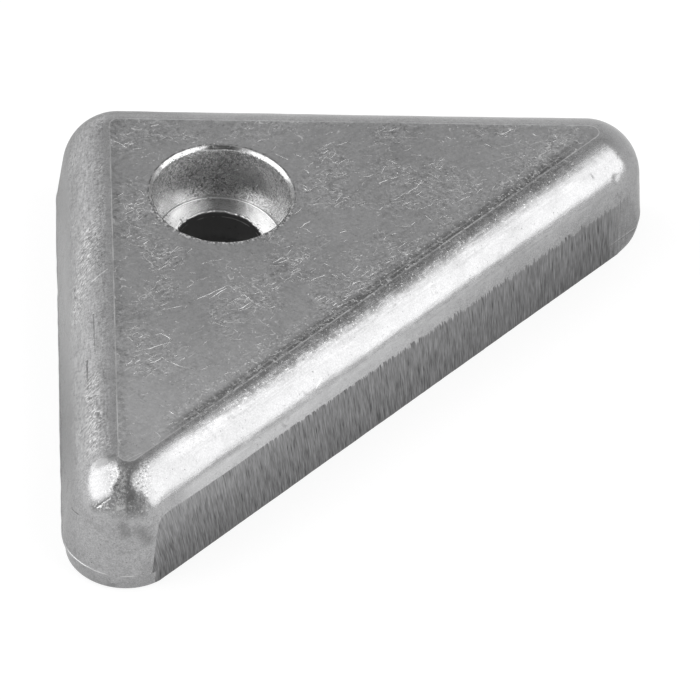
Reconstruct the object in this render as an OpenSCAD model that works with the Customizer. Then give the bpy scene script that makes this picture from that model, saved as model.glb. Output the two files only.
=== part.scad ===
// Bolt-on zinc anode, triangular, for a boat's drive leg or transom bracket.
// One gravity casting: drafted walls, a wide rounding up to a flat top, and a
// deep bolt pocket. The long side was ground flat where the gate came off.
//
// Frame: Z up from the mounting face, origin on the bolt hole's axis.
// The two equal sides face -X and +Y, and the long side faces +X -Y.

/* [Body] */
// Overall length of each of the two equal sides, over the rounded corners
side_length = 69; // [67:2:81]
// Height from the mounting face to the flat top
height = 14.6; // [14.1:0.5:15.6]
// Radius of the three upright corners at the parting line
corner_r = 7; // [7:3:10]
// Lean of the side walls above the parting line, in degrees
wall_draft = 5.5; // [3.5:1:6.5]

/* [Top rounding] */
// Radius of the rounding between a side wall and the flat top
top_r = 6.7; // [4.7:0.5:6.7]
// Angle at which the rounding breaks into the flat top and leaves a fine crease
crease_angle = 12; // [6:2:18]

/* [Parting line] */
// Height of the parting line above the mounting face
parting_z = 2.3; // [1.7:0.2:2.9]
// Step in at the parting line, where the two mould halves don't quite meet
parting_step = 0.2; // [0.1:0.05:0.3]
// Further step in of the lower half at the mounting face
foot_inset = 0.25; // [0.15:0.1:0.55]

/* [Ground face] */
// How far the long side is ground back at its end nearest -Y
ground_near = 0.6; // [0.4:0.1:1]
// How far the long side is ground back at its other end
ground_far = 0.45; // [0.35:0.1:0.95]
// Lean of the ground face in towards the top, in degrees
ground_lean = 1; // [0.5:0.5:2]

/* [Bolt hole] */
// Distance from the hole's axis to each of the two equal sides
hole_offset = 18.6; // [16.6:1:20.6]
// Diameter of the clearance hole, for an M8 screw
hole_d = 10; // [9:0.5:11]
// Diameter of the flat seat under the screw's head
seat_d = 14.6; // [13.4:0.4:15]
// Depth of the seat below the flat top
seat_depth = 7.3; // [6.3:0.5:8.8]
// Diameter of the pocket where its lip starts
pocket_d = 16; // [15.6:0.4:16.8]
// Width and drop of the lip rolled round the pocket's mouth
lip = 0.35; // [0.15:0.1:0.55]

/* [Hidden] */
$fn = 96;

// Centre of each upright corner: the square one, then the two sharp ones.
square_c = [corner_r - hole_offset, hole_offset - corner_r];
near_c = [square_c[0], square_c[1] - side_length + 2 * corner_r];
far_c = [square_c[0] + side_length - 2 * corner_r, square_c[1]];
leg = side_length - 2 * corner_r;
hypotenuse = leg * sqrt(2);

// The rounding's arc, in a section: u runs out from a corner's centre.
// Neighbouring surfaces overlap by a hair here, so that they cross cleanly
// instead of only touching: the arc over the wall, the corners over the sides.
arc_proud = 0.01;
side_back = 0.02;
arc_z = height - top_r * cos(crease_angle);
tangent_z = arc_z + top_r * sin(wall_draft);
tangent_u = corner_r - (tangent_z - parting_z) * tan(wall_draft);
arc_u = tangent_u - top_r * cos(wall_draft) + arc_proud;

// Section through a wall, from a corner's centre out to the wall. It runs a
// little below the mounting face and above the flat top, to be cut off there.
// The long side has no foot: its lower edge is ground away with the rest.
module wall_section(below, with_foot) {
    shoulder_u = corner_r - parting_step;
    foot_lean = foot_inset / parting_z;
    foot = [
        [shoulder_u - foot_inset - below * foot_lean, -below],
        [shoulder_u, parting_z],
        [corner_r, parting_z]
    ];
    plain = [[corner_r, -below], [corner_r, parting_z]];
    intersection() {
        union() {
            polygon(concat(
                [[-1, -below]],
                with_foot ? foot : plain,
                [[tangent_u, tangent_z], [-1, arc_z]]
            ));
            translate([arc_u, arc_z]) circle(top_r);
        }
        translate([0, -below]) square([2 * corner_r, 2 * height]);
    }
}

// An upright corner of the block, turned about its centre.
module corner(centre) {
    translate(centre) rotate_extrude() wall_section(1, true);
}

// A straight side of the block, from one corner's centre to the next.
module side(start, facing, length, with_foot) {
    translate(start) rotate([90, 0, facing]) linear_extrude(length)
        translate([-side_back, 0]) wall_section(2, with_foot);
}

// The casting as it left the mould.
module rough_block() {
    intersection() {
        union() {
            translate([0, 0, -3]) linear_extrude(height + 6)
                polygon([square_c, near_c, far_c]);
            corner(square_c);
            corner(near_c);
            corner(far_c);
            side(near_c, 180, leg, true);
            side(square_c, 90, leg, true);
            side(far_c, -45, hypotenuse, false);
        }
        translate([-2 * side_length, -2 * side_length, 0])
            cube([4 * side_length, 4 * side_length, height]);
    }
}

// Everything beyond the plane of the ground face.
module grinding_cut() {
    skew = atan((ground_near - ground_far) / hypotenuse);
    translate(far_c) rotate(-45)
        translate([corner_r - ground_far, 0, parting_z])
            rotate([0, -ground_lean, -skew])
                translate([0, -2 * side_length, -height])
                    cube([2 * corner_r, 3 * side_length, 3 * height]);
}

// Clearance hole, tapered head pocket and its rolled lip, in one turned shape.
module bolt_pocket() {
    seat_z = height - seat_depth;
    rotate_extrude() polygon([
        [0, -1],
        [hole_d / 2, -1],
        [hole_d / 2, seat_z],
        [seat_d / 2, seat_z],
        [pocket_d / 2, height - lip],
        [pocket_d / 2 + lip, height],
        [pocket_d / 2 + lip, height + 1],
        [0, height + 1]
    ]);
}

module anode_body() {
    color([0.62, 0.62, 0.63])
        difference() {
            rough_block();
            grinding_cut();
            bolt_pocket();
        }
}

anode_body();
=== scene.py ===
"""Looks of a bolt-on zinc anode: one triangular casting, its scuffed skin, its
ground side and its bolt pocket, on a pale floor in soft studio light."""
import math

import bmesh
import bpy
import numpy as np
from mathutils import Matrix, Vector
from mathutils.geometry import delaunay_2d_cdt


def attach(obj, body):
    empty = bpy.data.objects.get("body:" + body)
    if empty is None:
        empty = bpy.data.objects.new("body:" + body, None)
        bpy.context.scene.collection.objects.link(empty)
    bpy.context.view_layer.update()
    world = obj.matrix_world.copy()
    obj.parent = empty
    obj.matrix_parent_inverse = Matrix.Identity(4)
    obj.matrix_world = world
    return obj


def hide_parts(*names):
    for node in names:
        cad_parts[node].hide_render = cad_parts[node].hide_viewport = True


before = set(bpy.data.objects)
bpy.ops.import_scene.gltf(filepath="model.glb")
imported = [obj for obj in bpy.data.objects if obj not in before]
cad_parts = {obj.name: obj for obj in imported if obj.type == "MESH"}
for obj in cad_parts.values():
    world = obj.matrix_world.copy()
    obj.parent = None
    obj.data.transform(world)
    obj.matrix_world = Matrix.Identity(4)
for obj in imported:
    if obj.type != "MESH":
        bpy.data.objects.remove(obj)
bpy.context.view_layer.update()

bl_info = {
    "name": "Zinc Anode Casting",
    "version": (1, 0, 0),
    "blender": (4, 5, 0),
    "location": "View3D > Sidebar > Anode",
    "description": "Builds a triangular cast zinc anode with its scuffed skin and ground side",
    "category": "Object",
}

MM = 0.001      # the shapes below are worked out in millimetres

# The mesh carries how far down its section a place lies from the crease: more than 0 on the
# rounding and the walls, less than 0 on the top. These values of it stand for other surfaces.
BELOW_CREASE = "below_crease"
IN_POCKET = -20.0
UNDERSIDE = 20.0
FRESH = 40.0                        # freshly scratched metal

SIDE_POINTS = (96, 400, 96)         # mesh points along the left, long and back sides
FINE_STEPS = 900                    # steps along the wall's section while it is cut
TOP_SPACING, UNDER_SPACING = 0.5, 1.6   # between mesh points on the top and on the underside
SLIVER_RINGS = 10                   # rings of points along each of the longest scratches
NOISE_TABLE = 4096                  # random numbers that one layer of noise draws from
NOISE_KEYS = (73856093, 19349663, 83492791)     # large primes that spread its cells over them
NEAR_TWIST = math.radians(2.1)      # how much more the ground face leans at its near end
NEAR_TWIST_RUN = 8.0                # over how much of its length, in millimetres
TWIST_HEIGHT = 9.3                  # the height about which it twists
SOFT_FOOT = 3.2                     # up to this height the far corner's foot is worn round

# layers of unevenness: height or depth, size of the waves (mm) and seed
SKIN_WAVES = ((0.045, 14.0, 11), (0.028, 5.5, 12), (0.012, 2.2, 13), (0.006, 0.9, 14))
BEAD_WAVES = ((0.08, 4.0, 15), (0.04, 1.3, 16))
TOP_WAVES = ((0.020, 16.0, 21), (0.012, 6.0, 22), (0.005, 2.0, 23), (0.003, 0.9, 24))
GRINDING = ((0.006, 0.31, 31), (0.008, 0.9, 32), (0.012, 3.1, 33))

# dents and knocks in the rounding and walls: x, y, z, radius, depth (mm)
KNOCKS = (
    (-13.4, -45.6, 13.2, 0.9, 0.10), (-12.6, -46.8, 12.6, 0.7, 0.12), (-11.4, -47.6, 12.2, 0.6, 0.10),
    (-14.6, -44.2, 13.4, 0.8, 0.08), (-10.6, -46.2, 13.3, 0.8, 0.07), (-17.4, -30.0, 12.2, 1.2, 0.05),
    (-17.0, -12.0, 12.4, 1.5, 0.05), (-16.4, 8.0, 12.8, 1.2, 0.06), (10.0, 17.0, 12.0, 1.4, 0.05),
    (44.2, 8.4, 12.6, 0.7, 0.08), (46.2, 7.2, 11.4, 0.6, 0.07), (43.6, 6.0, 12.8, 0.5, 0.08),
    (2.0, -33.4, 12.4, 0.9, 0.05), (16.4, -18.6, 12.9, 0.7, 0.06), (30.4, -6.2, 12.2, 1.0, 0.05),
)

# long scratches on the top, in millimetres: the places that each runs through
LONG_SCRATCHES = (
    ((-6.9, -36.5), (-6.3, -37.1)), ((-10.9, -27.1), (-8.8, -26.2), (-6.3, -25.1)),
    ((-10.1, -29.1), (-8.3, -28.4), (-7.2, -27.4)), ((-7.4, -28.1), (-3.8, -29.9)),
    ((-7.7, -20.0), (-4.8, -19.1)), ((-1.9, -17.9), (0.2, -15.9)), ((-7.7, -23.8), (-6.2, -24.8)),
    ((-0.9, -20.0), (1.5, -19.6), (3.4, -17.8)),
    ((-3.7, -18.3), (0.6, -15.4)), ((-1.9, -22.0), (1.4, -21.8), (5.0, -22.2)),
)


# Sizes and colours that a user would change.

def length(label, text, millimetres):
    return bpy.props.FloatProperty(name=label, description=text, default=millimetres * MM,
                                   unit="LENGTH", precision=5)


def angle(label, text, degrees):
    return bpy.props.FloatProperty(name=label, description=text, default=math.radians(degrees),
                                   unit="ROTATION")


def amount(label, text, value, low=0.0, high=1.0):
    return bpy.props.FloatProperty(name=label, description=text, default=value, min=low,
                                   max=high, subtype="FACTOR")


def tint(label, text, *rgb):
    return bpy.props.FloatVectorProperty(name=label, description=text, default=rgb, size=3,
                                         min=0.0, max=1.0, subtype="COLOR")


class CastingSizes(bpy.types.PropertyGroup):
    side: length("Side", "Length of each equal side over the rounded corners", 69.0)
    height: length("Height", "Height from the mounting face to the flat top", 14.6)
    corner: length("Corner radius", "Radius of the upright corners at the parting line", 7.0)
    rounding: length("Top rounding", "Radius between a wall and the flat top", 6.7)
    parting: length("Parting line", "Height of the mould's parting line", 2.3)
    step: length("Parting step", "Step in at the parting line", 0.2)
    foot: length("Foot inset", "Further step in at the mounting face", 0.25)
    offset: length("Hole offset", "Distance from the hole's axis to each equal side", 18.6)
    hole: length("Hole radius", "Radius of the clearance hole", 5.0)
    seat: length("Seat radius", "Radius of the flat seat under the screw's head", 7.3)
    seat_depth: length("Seat depth", "Depth of the seat below the flat top", 7.3)
    mouth: length("Mouth radius", "Radius of the pocket where its lip starts", 8.0)
    lip: length("Lip", "Width and drop of the lip round the pocket's mouth", 0.35)
    ground_near: length("Ground back, near", "Depth ground off at the near end", 0.6)
    ground_far: length("Ground back, far", "Depth ground off at the far end", 0.45)
    draft: angle("Draft", "Lean of the walls above the parting line", 5.5)
    crease: angle("Crease angle", "Angle at which the rounding breaks into the flat top", 12.0)
    lean: angle("Ground lean", "Lean of the ground face in towards the top", 1.0)


class CastingFinish(bpy.types.PropertyGroup):
    metal: tint("Cast skin", "Colour of the cast zinc skin", 0.42, 0.42, 0.424)
    # also the colour of the painted shade on the skin
    grime_and_shade: tint("Dirt", "Colour of grime and oxide in the skin", 0.10, 0.10, 0.10)
    ground: tint("Ground metal", "Colour of the side ground bare", 0.245, 0.245, 0.248)
    pocket: tint("Pocket", "Colour of the pocket's wall and seat", 0.70, 0.70, 0.70)
    # painted shade: this near black colours the through hole, where shade falls down it
    hole: tint("Hole", "Colour of the grime in the through hole", 0.09, 0.09, 0.09)
    # also the colour of painted highlights: glints, the line along the crease, the bead's line and the soft
    # edge of the near corner's highlight
    bright: tint("Fresh scratch", "Colour of freshly scratched metal", 0.9, 0.9, 0.9)
    skin_roughness: amount("Skin roughness", "Roughness of the cast skin", 0.28)
    scratch_density: bpy.props.FloatProperty(
        name="Scratch density", default=150.0, min=0.0, max=400.0,
        description="Raised scratches for each square centimetre where they lie thickest")
    scratch_length: length("Scratch length", "Length of the longest raised scratches", 1.9)
    scratch_width: length("Scratch width", "Half the width of the widest raised scratches", 0.05)
    scratch_sway: length("Scratch sway", "How far the raised scratches wander sideways", 1.5)
    seed: bpy.props.IntProperty(name="Seed", description="Seed for everything random", default=7, min=0)


class StudioLight(bpy.types.PropertyGroup):
    right_box: amount("Right softbox", "Radiance of the right softbox", 1.64, high=20.0)
    left_box: amount("Left softbox", "Radiance of the left softbox", 1.60, high=20.0)
    floor: tint("Floor", "Colour of the floor", 0.90, 0.90, 0.90)
    floor_white: amount("Floor white", "Added to the floor where the camera sees it", 0.78)
    floor_sides: amount("Floor glow, sides", "Added to the floor left and right, seen in the metal", 0.30)
    floor_ends: amount("Floor glow", "Added to the floor all round, seen in the metal", 0.24)


# Repeatable noise, worked out on a lattice.

def lattice_noise(points, cell, seed):
    """Smooth noise from -1 to 1 at 3-D points, with lattice cells of the given size."""
    table = np.random.default_rng(seed).uniform(-1.0, 1.0, NOISE_TABLE)
    p = np.asarray(points, float) / cell + 1000.0
    low = np.floor(p).astype(np.int64)
    f = p - low
    f = f * f * (3.0 - 2.0 * f)
    total = np.zeros(len(p))
    for corner in np.ndindex(2, 2, 2):
        key = np.bitwise_xor.reduce((low + corner) * NOISE_KEYS, axis=1)
        total += np.where(corner, f, 1 - f).prod(axis=1) * table[key % NOISE_TABLE]
    return total


def waves(points, rows):
    """The sum of some layers of noise, each with its height, the size of its waves and its seed."""
    return sum(height * lattice_noise(points, cell, seed) for height, cell, seed in rows)


def smooth_step(low, high, x):
    """0 where x is low, 1 where it is high, and a smooth run between."""
    t = np.clip((np.asarray(x, float) - low) / (high - low), 0.0, 1.0)
    return t * t * (3.0 - 2.0 * t)


# The casting's shape.

class Shape:
    """The sizes in millimetres, and what follows from them."""

    def __init__(self, sizes):
        for key in ("side", "height", "corner", "rounding", "parting", "step", "foot", "offset", "hole",
                    "seat", "seat_depth", "mouth", "lip", "ground_near", "ground_far"):
            setattr(self, key, getattr(sizes, key) / MM)
        self.draft, self.crease, self.lean = sizes.draft, sizes.crease, sizes.lean
        c, o = self.corner, self.offset
        self.leg = self.side - 2 * c
        self.square_c = np.array([c - o, o - c])
        self.near_c = self.square_c + np.array([0.0, -self.leg])
        self.far_c = self.square_c + np.array([self.leg, 0.0])
        self.long = self.leg * math.sqrt(2)
        self.out = np.array([1.0, -1.0]) / math.sqrt(2)      # out of the long side
        self.along = np.array([1.0, 1.0]) / math.sqrt(2)     # along it, near end to far end
        self.arc_z = self.height - self.rounding * math.cos(self.crease)
        self.tangent_z = self.arc_z + self.rounding * math.sin(self.draft)
        self.tangent_u = c - (self.tangent_z - self.parting) * math.tan(self.draft)
        self.arc_u = self.tangent_u - self.rounding * math.cos(self.draft)
        self.crease_u = self.arc_u + self.rounding * math.sin(self.crease)
        self.seat_z = self.height - self.seat_depth


def loop_points(shape):
    """Points round the block: feet on the inner triangle, and the way out from each."""
    # a corner's centre, the way it faces at its two ends in degrees, and how many points it has
    corners = ((shape.square_c, 90, 180, 44), (shape.near_c, 180, 315, 72), (shape.far_c, -45, 90, 64))
    feet, facing = [], []
    for k, (centre, start, stop, count) in enumerate(corners):
        feet.append(np.repeat(centre[None], count, 0))
        facing.append(np.radians(start + (stop - start) * (np.arange(count) / count)))
        ahead, count = corners[(k + 1) % 3][0], SIDE_POINTS[k]
        feet.append(centre + (ahead - centre) * (np.arange(count) / count)[:, None])
        facing.append(np.full(count, math.radians(stop)))
    facing = np.concatenate(facing)
    return np.concatenate(feet), np.stack([np.cos(facing), np.sin(facing)], 1)


def wall_levels(shape):
    """The wall's section from the mounting face up to the crease, as (u, z) pairs."""
    c, z0 = shape.corner, shape.parting
    foot_u, top_u = c - shape.step - shape.foot, c - shape.step
    rise = np.tan(shape.draft)
    levels = [(foot_u - 0.16, 0.0), (foot_u - 0.05, 0.03), (foot_u + 0.01, 0.13)]
    for z in (0.6, 1.1, 1.6, 2.0, z0 - 0.09):
        levels.append((foot_u + shape.foot * z / z0, z))
    # the bead that the mould's joint left
    levels += [(top_u + 0.02, z0 - 0.03), (c - 0.05, z0 - 0.01), (c + 0.01, z0 + 0.02), (c + 0.04, z0 + 0.06),
               (c + 0.04, z0 + 0.11), (c + 0.01, z0 + 0.17), (c - 0.24 * rise, z0 + 0.25)]
    for z in np.linspace(z0 + 0.45, shape.tangent_z, 13):
        levels.append((c - (z - z0) * rise, z))
    for a in np.linspace(shape.draft, math.pi / 2 - shape.crease, 24)[1:]:
        levels.append((shape.arc_u + shape.rounding * math.cos(a),
                       shape.arc_z + shape.rounding * math.sin(a)))
    u, z = levels.pop()
    levels += [(u + 0.10, z - 0.10 * math.tan(shape.crease) - 0.004), (u, z - 0.006)]
    return np.array(levels)


def ground_reach(shape, s, z):
    """How far out the ground face lies, measured square to the long side, at a place along it."""
    twist = (math.tan(shape.lean + NEAR_TWIST) - math.tan(shape.lean)) * smooth_step(NEAR_TWIST_RUN, 0.0, s)
    rise = np.minimum(TWIST_HEIGHT - z, (TWIST_HEIGHT - shape.parting) / shape.parting * z)
    back = shape.ground_near + (shape.ground_far - shape.ground_near) * s / shape.long
    back = back + math.tan(shape.lean) * (z - shape.parting) - twist * rise
    slant = np.tan(np.radians(12.0 - 7.0 * s / shape.long))
    streaks = np.stack([s + z * slant, 0 * s, z * 0.04], 1)
    for depth, cell, seed in GRINDING:
        back = back + depth * lattice_noise(streaks, cell, seed)
    return shape.corner - back


def skin_height(points):
    """How far the cast skin stands off its true place, in millimetres."""
    h = waves(points, SKIN_WAVES)
    for x, y, z, radius, depth in KNOCKS:
        d = np.linalg.norm(points - np.array([x, y, z]), axis=1) / radius
        h += -depth * np.exp(-d * d) + 0.35 * depth * np.exp(-((d - 1.35) / 0.35) ** 2)
    return h


def wall_mesh(shape):
    """The wall and rounding as a grid of points, one row for each level, and how far below the
    crease each point lies."""
    feet, out = loop_points(shape)
    levels = wall_levels(shape)
    run = np.concatenate([[0], np.cumsum(np.hypot(*np.diff(levels, axis=0).T))])
    fine = np.linspace(0, run[-1], FINE_STEPS)
    fine_u, fine_z = np.interp(fine, run, levels[:, 0]), np.interp(fine, run, levels[:, 1])
    plain_u = np.where(fine_z < shape.parting + 0.12, shape.corner, fine_u)
    tucked = np.clip((SOFT_FOOT - fine_z) / SOFT_FOOT, 0.0, 1.0)
    soft_u = np.where(fine_z < SOFT_FOOT, shape.corner - 0.5 * tucked ** 2 - 0.1 * tucked ** 12, fine_u)
    grid = np.zeros((len(levels), len(feet), 3))
    ground, below = np.zeros(grid.shape[:2]), np.zeros(grid.shape[:2])
    far_s = shape.far_c @ shape.along - 1.0

    def along_side(i, u):
        """Where the points of one column lie along the long side."""
        return (feet[i] + out[i] * u[:, None] - shape.near_c) @ shape.along

    for i in range(len(feet)):
        turn = float(out[i] @ shape.out)
        at_far = float(smooth_step(-0.75, 0.1, turn)) if feet[i] @ shape.along > far_s else 0.0
        u_line = fine_u + (soft_u - fine_u) * at_far
        at_levels, limit = run.copy(), np.full(len(levels), np.inf)
        if turn > 0.5:
            s = along_side(i, u_line)
            no_foot = smooth_step(0.0, 5.0, s) * smooth_step(shape.long + 1.0, shape.long - 4.0, s)
            u_line = u_line + (plain_u - u_line) * no_foot
            reach = ground_reach(shape, along_side(i, u_line), fine_z) / turn
            cut = u_line > reach
            if cut.any() and not cut.all():
                # the nearest level moves to where the ground face ends
                k = int(np.nonzero(cut)[0][-1])
                if 0 < k < FINE_STEPS - 1:
                    at_levels[np.argmin(np.abs(run - fine[k]))] = fine[k]
            limit = np.interp(at_levels, fine, reach)
        u = np.interp(at_levels, fine, u_line)
        ground[:, i] = u > limit
        u = np.minimum(u, limit)
        if ground[1, i]:
            u[0] = min(u[0], u[2] - 0.05)
        below[:, i] = run[-1] - at_levels
        grid[:, i, :2] = feet[i] + out[i] * u[:, None]
        grid[:, i, 2] = np.interp(at_levels, fine, fine_z)
    return roughened(grid, ground, levels, out, shape), below


def roughened(grid, ground, levels, out, shape):
    """The wall with the cast skin's unevenness, square to its section, where it isn't ground."""
    d = np.gradient(levels, axis=0)
    nu, nz = d[:, 1], -d[:, 0]
    size = np.hypot(nu, nz)
    nu, nz = nu / size, nz / size
    p = grid.reshape(-1, 3)
    bead = np.exp(-((p[:, 2] - shape.parting - 0.08) / 0.08) ** 2)
    uneven = 0.03 + waves(p, BEAD_WAVES)
    h = (skin_height(p) + bead * uneven).reshape(ground.shape) * (1 - ground)
    fade = np.clip(levels[:, 1] / 1.2, 0, 1)[:, None]
    near_top = 1.0 - smooth_step(shape.height - 0.5, shape.height, levels[:, 1])[:, None]
    h = h * fade * (0.15 + 0.85 * near_top)
    grid[:, :, :2] += (h * nu[:, None])[:, :, None] * out
    grid[:, :, 2] += h * nz[:, None]
    return grid


def top_height(xy, shape):
    """Height of the flat top's skin over a point, in millimetres."""
    p = np.column_stack([xy, np.full(len(xy), shape.height)])
    # the top sinks a little towards its middle, and lifts round the pocket's mouth
    r = np.hypot(xy[:, 0], xy[:, 1])
    h = waves(p, TOP_WAVES) + 0.05 * np.exp(-((r - 8.7) / 0.5) ** 2) * (0.6 + 0.4 * lattice_noise(p, 1.7, 25))
    w = shape.crease_u - (xy - shape.near_c) @ shape.out
    h -= 0.05 * smooth_step(0.0, 6.0, w) - 0.02
    return shape.height + np.minimum(h, 0.04)


def pocket_rings(shape, count=256):
    """Rings of the pocket from its mouth down to the mounting face."""
    a = np.linspace(0, 2 * math.pi, count, endpoint=False)
    circle = np.stack([np.cos(a), np.sin(a)], 1)
    rows = []

    def wave(cell, seed, z=0.0):
        """Noise round a ring."""
        return lattice_noise(np.column_stack([circle * 8.0, np.full(count, z)]), cell, seed)

    def add(r, z, sway=0.0, lift=0.0):
        """One more ring, moved unevenly outwards and up."""
        rows.append(np.column_stack([(r + sway) * circle[:, 0], (r + sway) * circle[:, 1],
                                     z + np.zeros(count) + lift]))

    mouth, top, lip, seat, seat_z, hole = (shape.mouth, shape.height, shape.lip, shape.seat,
                                           shape.seat_z, shape.hole)
    rough = 0.10 * wave(1.1, 41) + 0.07 * wave(0.45, 42)
    burred = rough * (0.3 + np.clip(-circle[:, 1] + 0.2, 0, 1))
    add(mouth + lip + 0.28, top, 0.5 * burred)
    add(mouth + lip + 0.07, top + 0.01, 0.8 * burred, 0.03 * wave(0.8, 43))
    add(mouth + lip, top - 0.03, 0.8 * burred, 0.03 * wave(0.8, 43))
    add(mouth + lip - 0.05, top - 0.08, 0.7 * burred, 0.03 * wave(0.7, 44))
    add(mouth + 0.5 * lip, top - 0.5 * lip, 0.3 * rough, 0.03 * wave(0.9, 45))
    add(mouth + 0.05, top - lip + 0.03, 0.3 * rough)
    add(mouth, top - lip - 0.03, 0.3 * rough)
    add(mouth - 0.03, top - lip - 0.12, 0.1 * rough)
    for f in np.linspace(0.08, 0.955, 14):
        z = (top - lip) + (seat_z - top + lip) * f
        add(mouth + (seat - mouth) * f, z, 0.015 * wave(2.5, 46, z) + 0.008 * wave(0.8, 47, z))
    for inward, up in ((0.0, 0.12), (0.03, 0.04), (0.12, 0.0)):
        add(seat - inward, seat_z + up, 0.01 * wave(1.2, 48))
    for f in np.linspace(0.12, 0.9, 7):
        r = seat + (hole - seat) * f
        add(r, seat_z - 0.10 * f, 0.0, 0.015 * wave(2.0, 49, r))
    burr = 0.10 * wave(0.9, 51) + 0.09 * wave(0.4, 52)
    add(hole + 0.16, seat_z - 0.10, 0.5 * burr, 0.05 + 0.06 * wave(0.6, 53))
    add(hole + 0.04, seat_z - 0.16, burr, 0.06 * wave(0.5, 54))
    add(hole - 0.02, seat_z - 0.30, 0.5 * burr)
    for z in np.linspace(seat_z - 0.6, 0.4, 9):
        add(hole, z, 0.02 * wave(1.4, 55, z))
    add(hole + 0.02, 0.12)
    add(hole + 0.14, 0.0)
    return np.array(rows)


def fill_between(outer, inner, spacing, seed):
    """Fills the flat area between two closed loops with even triangles; returns points, faces."""
    rng = np.random.default_rng(seed)
    low, high = outer.min(0), outer.max(0)
    rows = []
    y, k = low[1], 0
    while y < high[1]:
        x = np.arange(low[0] + (0.5 * spacing if k % 2 else 0.0), high[0], spacing)
        rows.append(np.column_stack([x, np.full(len(x), y)]))
        y += spacing * math.sqrt(3) / 2
        k += 1
    p = np.concatenate(rows)
    p = p + rng.uniform(-0.12, 0.12, p.shape) * spacing
    middle = inner.mean(0)
    hole = np.linalg.norm(inner - middle, axis=1).max()
    clear = np.linalg.norm(p - middle, axis=1) > hole + 0.5 * spacing
    points = np.concatenate([outer, inner, p[inside(p, outer, 0.5 * spacing) & clear]])
    a, b = len(outer), len(inner)
    edges = [(i, (i + 1) % a) for i in range(a)] + [(a + i, a + (i + 1) % b) for i in range(b)]
    result = delaunay_2d_cdt([Vector(q) for q in points], edges, [], 2, 1e-7)
    verts, faces, source = result[0], result[2], result[3]
    if len(verts) != len(points):
        raise RuntimeError("the fill changed its points: %d for %d" % (len(verts), len(points)))
    order = np.array([s[0] for s in source])
    flat = np.array([[v[0], v[1]] for v in verts])
    faces = np.array([list(f) for f in faces])
    turned = double_area(flat, faces) < 0
    faces[turned] = faces[turned][:, ::-1]
    faces = order[faces]
    # a triangle with all its corners on the inner loop lies in the hole if the loop runs round it
    on_rim = ((faces >= a) & (faces < a + b)).all(1)
    return points, faces[~(on_rim & (double_area(points, np.sort(faces, 1)) > 0))]


def double_area(points, faces):
    """Twice the area of each triangle, less than 0 where it runs clockwise."""
    one, two = points[faces[:, 1]] - points[faces[:, 0]], points[faces[:, 2]] - points[faces[:, 0]]
    return one[:, 0] * two[:, 1] - one[:, 1] * two[:, 0]


def distance_to_loop(points, loop):
    """Distance from points to the nearest edge of a closed loop."""
    nearest = np.full(len(points), np.inf)
    for a, b in zip(loop, np.roll(loop, -1, 0)):
        run = b - a
        t = np.clip((points - a) @ run / max(run @ run, 1e-12), 0.0, 1.0)
        nearest = np.minimum(nearest, np.linalg.norm(points - a - t[:, None] * run, axis=1))
    return nearest


def inside(points, loop, margin):
    """Whether points lie inside a convex anticlockwise loop, at least margin from it."""
    good = np.ones(len(points), bool)
    d = np.roll(loop, -1, 0) - loop
    size = np.linalg.norm(d, axis=1)
    for p, e, l in zip(loop, d, size):
        if l < 1e-9:
            continue
        good &= (e[0] * (points[:, 1] - p[1]) - e[1] * (points[:, 0] - p[0])) / l > margin - 1e-9
    return good


def raised_line(path, radius, height):
    """A thin closed sliver along a path over the top, pointed at both ends."""
    path, count = np.array(path, float), SLIVER_RINGS
    run = np.concatenate([[0], np.cumsum(np.linalg.norm(np.diff(path, axis=0), axis=1))])
    t = np.linspace(0, run[-1], count)
    centre = np.column_stack([np.interp(t, run, path[:, 0]), np.interp(t, run, path[:, 1]),
                              np.full(count, height)])
    centre[:, :2] += 0.10 * np.column_stack([lattice_noise(centre, 0.9, 71), lattice_noise(centre, 0.9, 72)])
    ahead = np.gradient(centre[:, :2], axis=0)
    side = np.column_stack([-ahead[:, 1], ahead[:, 0], np.zeros(count)])
    side /= np.linalg.norm(ahead, axis=1)[:, None]
    size = radius * (0.15 + 0.85 * np.sin(np.linspace(0, math.pi, count)))[:, None]
    up = np.array([0.0, 0.0, 1.0])
    foot = centre - 0.4 * size * up
    points = np.stack([foot - side * size, foot + side * size, centre + 0.7 * size * up], 1).reshape(-1, 3)
    last = 3 * count - 1
    faces = [[i + 3 + a, i + 3 + b, i + b, i + a]
             for i in range(0, last - 2, 3) for a, b in ((0, 1), (1, 2), (2, 0))]
    return points, faces + [[0, 1, 2], [last, last - 1, last - 2]]


def grid_faces(first, rows, count):
    """The faces between rows of points, each a closed loop; the first point's number is given."""
    faces, i = [], np.arange(count)
    for row in range(rows - 1):
        a, b = first + row * count + i, first + row * count + (i + 1) % count
        faces += np.column_stack([a, b, b + count, a + count]).tolist()
    return faces


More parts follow.
